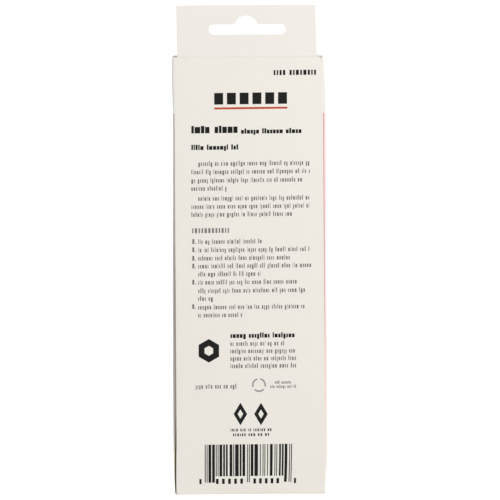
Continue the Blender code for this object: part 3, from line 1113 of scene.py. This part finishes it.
stripes = Print("print_stripes", black_ink)
STRIPES_LEFT, STRIPES_RIGHT, MODULES = 204.8, 292.0, 95
STRIPES_TOP, STRIPES_FOOT, LONG_FOOT = 444.2, 476.0, 482.2
LONG_UP_TO, LONG_FROM = 12, 85  # the stripes before and from these modules are long
SPOTS_TOP, SPOTS_FOOT, SPOT_WIDTH = 478.4, 483.6, 2.7
SPOT_START, SPOT_SHARE = 0.4, 0.62  # a block's place in its pitch, and its share of a narrow one
# (left, right, count) of the small blocks below and beside the stripes
SPOTS = ((215.5, 246.0, 5), (253.0, 282.4, 5), (199.0, 202.4, 1), (294.4, 297.8, 1))
module = (STRIPES_RIGHT - STRIPES_LEFT) / MODULES


def stripe(first, count, bottom):
    left = STRIPES_LEFT + first * module
    stripes.pixel_block(left, left + count * module, STRIPES_TOP, bottom)


for thin in (0, 2, 46, 48, 92, 94):
    stripe(thin, 1, LONG_FOOT)
for first, last in ((4, 44), (50, 90)):
    at = first
    while at < last:
        wide = rng.choice((1, 2, 2, 3, 3, 4))
        long = at + wide < LONG_UP_TO or at >= LONG_FROM
        stripe(at, min(wide, last - at), LONG_FOOT if long else STRIPES_FOOT)
        at += wide + rng.choice((1, 1, 2, 2))
for group_left, group_right, count in SPOTS:
    pitch = (group_right - group_left) / count
    for number in range(count):
        spot_left = group_left + number * pitch + SPOT_START
        spot_right = spot_left + min(SPOT_WIDTH, pitch * SPOT_SHARE)
        stripes.pixel_block(spot_left, spot_right, SPOTS_TOP, SPOTS_FOOT)
stripes.finish()

# The front panel is finished plainly: the same blocks and rule, in millimetres
FRONT_LEFT, FRONT_RIGHT, FRONT_BLOCK, FRONT_PITCH = -17.0, 16.9, 4.9, 5.8
front_title = Print("print_front_title_blocks", black_ink, side=1)
for number in range(BLOCKS):
    front_left = FRONT_LEFT + number * FRONT_PITCH
    front_title.block(front_left, front_left + FRONT_BLOCK, 162.5, 168.5)
front_title.finish()
front_rule = Print("print_front_rule", red_ink, side=1)
front_rule.block(FRONT_LEFT, FRONT_RIGHT, 159.6, 160.4)
front_rule.finish()


# Stage, light and camera


def studio_white(name, emission):
    """A matt white that glows a little, so that it renders pale and even."""
    material = bpy.data.materials.new(name)
    material.use_nodes = True
    shader = material.node_tree.nodes["Principled BSDF"]
    shader.inputs["Base Color"].default_value = (0.90, 0.90, 0.90, 1.0)
    shader.inputs["Roughness"].default_value = 0.9
    shader.inputs["Specular IOR Level"].default_value = 0.1
    shader.inputs["Emission Color"].default_value = (1.0, 1.0, 1.0, 1.0)
    shader.inputs["Emission Strength"].default_value = emission
    return material


def stage_plane(name, corners, emission):
    mesh = bpy.data.meshes.new(name)
    surface = bmesh.new()
    surface.faces.new([surface.verts.new(corner) for corner in corners])
    surface.to_mesh(mesh)
    surface.free()
    new_object(name, mesh, [studio_white(name + "_white", emission)])


def area_light(name, location, target, size, power, colour=(1.0, 1.0, 1.0)):
    data = bpy.data.lights.new(name, "AREA")
    data.shape = "SQUARE"
    data.size = size
    data.energy = power
    data.color = colour
    light = bpy.data.objects.new(name, data)
    light.location = location
    direction = Vector(target) - Vector(location)
    light.rotation_euler = direction.to_track_quat("-Z", "Y").to_euler()
    bpy.context.scene.collection.objects.link(light)


# The stage, in metres. The floor is just below the carton's foot
FLOOR_Z = -0.00005
BACKDROP_Y = 3.2
floor_corners = [(x, y, FLOOR_Z) for x, y in ((-6, -6), (6, -6), (6, 6), (-6, 6))]
backdrop_corners = [(x, BACKDROP_Y, z) for x, z in ((-2, -0.1), (2, -0.1), (2, 3.0), (-2, 3.0))]
stage_plane("studio_floor", floor_corners, 0.46)
stage_plane("studio_backdrop", backdrop_corners, 0.38)
area_light("key", (0.38, -0.46, 0.68), (0.0, 0.0, 0.16), 0.40, 3.38, (1.0, 0.995, 0.98))
area_light("fill", (-1.0, -1.0, 0.5), (0.0, 0.0, 0.10), 1.0, 0.6)
area_light("behind", (-0.3, 1.3, 0.9), (0.0, 0.0, 0.10), 0.9, 4.0)

world = bpy.data.worlds.new("studio_world")
world.use_nodes = True
background = world.node_tree.nodes["Background"].inputs
background["Color"].default_value = (1.0, 1.0, 1.0, 1.0)
background["Strength"].default_value = 0.46
bpy.context.scene.world = world
bpy.context.scene.view_settings.view_transform = "Standard"

camera_data = bpy.data.cameras.new("camera")
camera_data.sensor_width = SENSOR_WIDTH
panel_distance = CAMERA_DISTANCE - HALF_DEPTH * MM
camera_data.lens = SENSOR_WIDTH * panel_distance / (PIXELS / PIXELS_PER_MM * MM)
camera = bpy.data.objects.new("camera", camera_data)
centre_x, centre_z = on_panel(PIXELS / 2, PIXELS / 2)
camera.location = (centre_x * MM, -CAMERA_DISTANCE, centre_z * MM)
camera.rotation_euler = (math.pi / 2, LEAN, 0.0)
bpy.context.scene.collection.objects.link(camera)
bpy.context.scene.camera = camera
